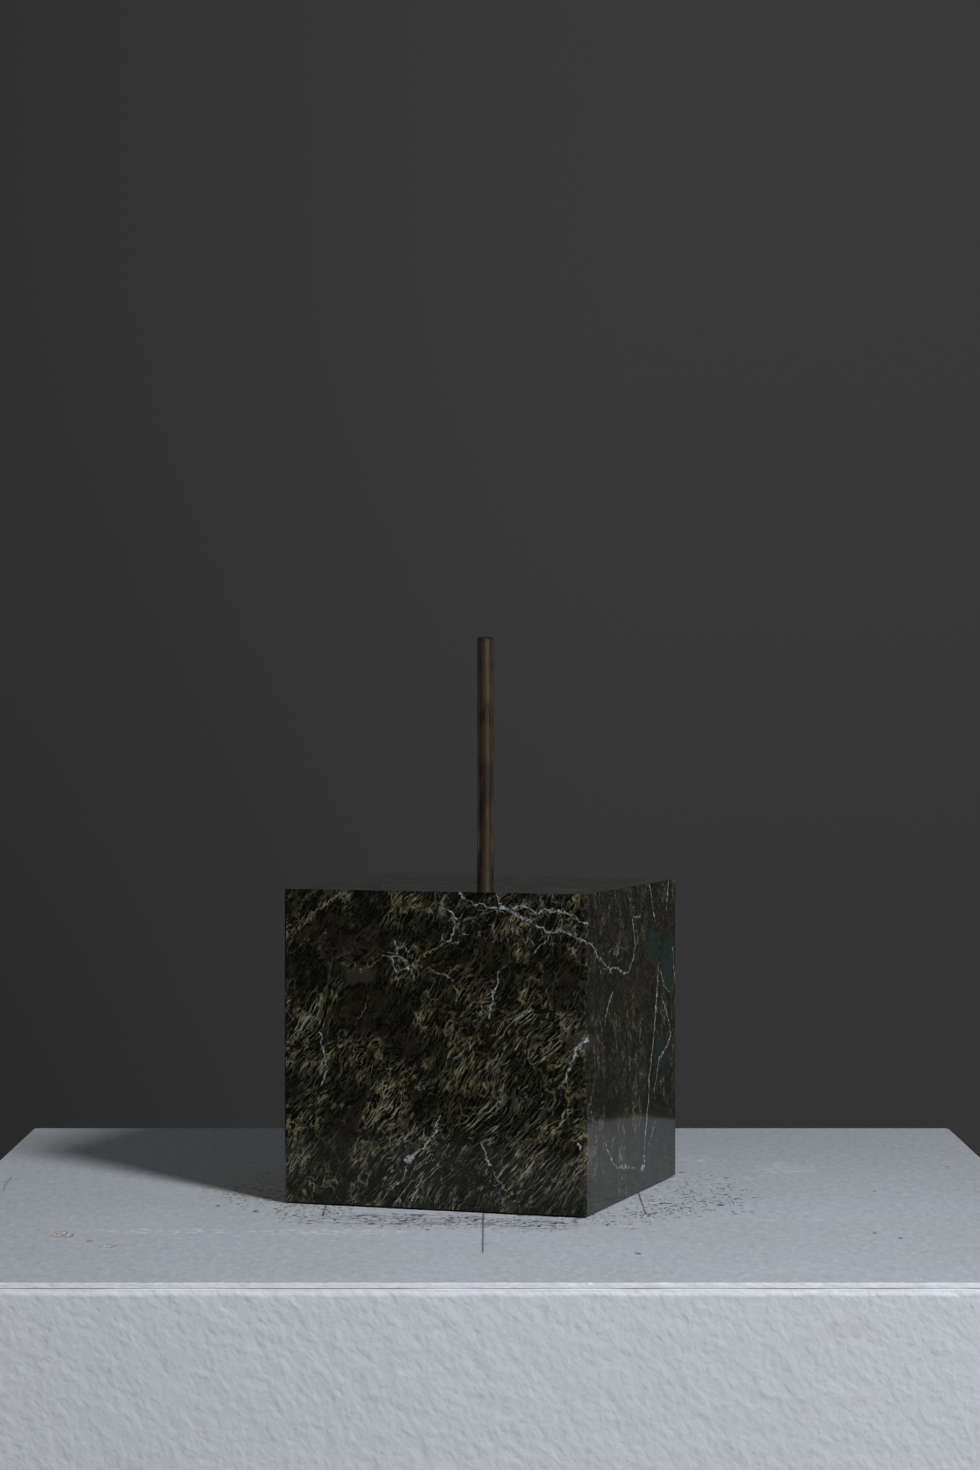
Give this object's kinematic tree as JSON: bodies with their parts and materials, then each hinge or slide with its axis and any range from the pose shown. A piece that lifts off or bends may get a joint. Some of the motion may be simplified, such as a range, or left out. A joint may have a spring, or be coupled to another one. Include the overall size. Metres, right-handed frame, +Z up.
{
  "type": "display plinth",
  "caption": "White painted gallery plinth on screw feet, with a loose polished dark stone block on top and a slim upright rod that holds an exhibit.",
  "frame": {"origin": "on the floor under the middle of the painted carcass", "axes": "+Z up, -Y towards the front, +X to the right as seen from the front"},
  "size_m": [0.51, 0.51, 1.269],
  "materials": {
    "painted_board": "white eggshell paint, rolled, with wear and pencil marks on the top",
    "softwood": "bare planed pine",
    "bare_board": "bare fibreboard",
    "zinc_steel": "bright zinc plate",
    "foot_plastic": "black moulded, matte",
    "felt": "thin black wool felt",
    "stone": "polished dark green-black marble with olive fibres and white veins",
    "rod_steel": "brown patinated, satin"
  },
  "bodies": {
    "carcass": {"front_panel": "painted_board", "right_panel": "painted_board", "back_panel": "painted_board", "left_panel": "painted_board", "top_sheet": "painted_board", "top_panel": "bare_board", "front_left_post": "softwood", "front_right_post": "softwood", "back_right_post": "softwood", "back_left_post": "softwood", "front_top_rail": "softwood", "right_top_rail": "softwood", "back_top_rail": "softwood", "left_top_rail": "softwood", "front_base_rail": "softwood", "right_base_rail": "softwood", "back_base_rail": "softwood", "left_base_rail": "softwood", "base_board": "bare_board", "top_rail_screws": "zinc_steel", "base_rail_screws": "zinc_steel", "corner_post_screws": "zinc_steel", "base_board_screws": "zinc_steel", "tee_nuts": "zinc_steel"},
    "mat": {"felt_mat": "felt"},
    "mount": {"stone_block": "stone", "support_rod": "rod_steel", "tie_stud": "zinc_steel", "stud_washer": "zinc_steel", "stud_nut": "zinc_steel"},
    "front_left_pad": {"front_left_foot_pad": "foot_plastic"},
    "front_left_stem": {"front_left_foot_stem": "zinc_steel"},
    "front_right_pad": {"front_right_foot_pad": "foot_plastic"},
    "front_right_stem": {"front_right_foot_stem": "zinc_steel"},
    "back_right_pad": {"back_right_foot_pad": "foot_plastic"},
    "back_right_stem": {"back_right_foot_stem": "zinc_steel"},
    "back_left_pad": {"back_left_foot_pad": "foot_plastic"},
    "back_left_stem": {"back_left_foot_stem": "zinc_steel"}
  },
  "joints": [
    {"name": "block_turn", "type": "hinge", "parent": "carcass", "child": "mat", "pos_m": [-0.003, 0.014, 1], "axis": [0, 0, 1], "continuous": true},
    {"name": "block_lift", "type": "slide", "parent": "mat", "child": "mount", "axis": [0, 0, 1], "range_m": [0, 0.25]},
    {"name": "front_left_foot_travel", "type": "slide", "parent": "carcass", "child": "front_left_pad", "axis": [0, 0, 1], "range_m": [0, 0.012]},
    {"name": "front_left_foot_turn", "type": "hinge", "parent": "front_left_pad", "child": "front_left_stem", "pos_m": [-0.175, -0.175, 0], "axis": [0, 0, 1], "range_deg": [0, 2880]},
    {"name": "front_right_foot_travel", "type": "slide", "parent": "carcass", "child": "front_right_pad", "axis": [0, 0, 1], "range_m": [0, 0.012]},
    {"name": "front_right_foot_turn", "type": "hinge", "parent": "front_right_pad", "child": "front_right_stem", "pos_m": [0.175, -0.175, 0], "axis": [0, 0, 1], "range_deg": [0, 2880]},
    {"name": "back_right_foot_travel", "type": "slide", "parent": "carcass", "child": "back_right_pad", "axis": [0, 0, 1], "range_m": [0, 0.012]},
    {"name": "back_right_foot_turn", "type": "hinge", "parent": "back_right_pad", "child": "back_right_stem", "pos_m": [0.175, 0.175, 0], "axis": [0, 0, 1], "range_deg": [0, 2880]},
    {"name": "back_left_foot_travel", "type": "slide", "parent": "carcass", "child": "back_left_pad", "axis": [0, 0, 1], "range_m": [0, 0.012]},
    {"name": "back_left_foot_turn", "type": "hinge", "parent": "back_left_pad", "child": "back_left_stem", "pos_m": [-0.175, 0.175, 0], "axis": [0, 0, 1], "range_deg": [0, 2880]}
  ],
  "couplings": [
    {"joint": "front_left_foot_turn", "follows": "front_left_foot_travel", "rad_per_m": 4188.8},
    {"joint": "front_right_foot_turn", "follows": "front_right_foot_travel", "rad_per_m": 4188.8},
    {"joint": "back_right_foot_turn", "follows": "back_right_foot_travel", "rad_per_m": 4188.8},
    {"joint": "back_left_foot_turn", "follows": "back_left_foot_travel", "rad_per_m": 4188.8}
  ]
}
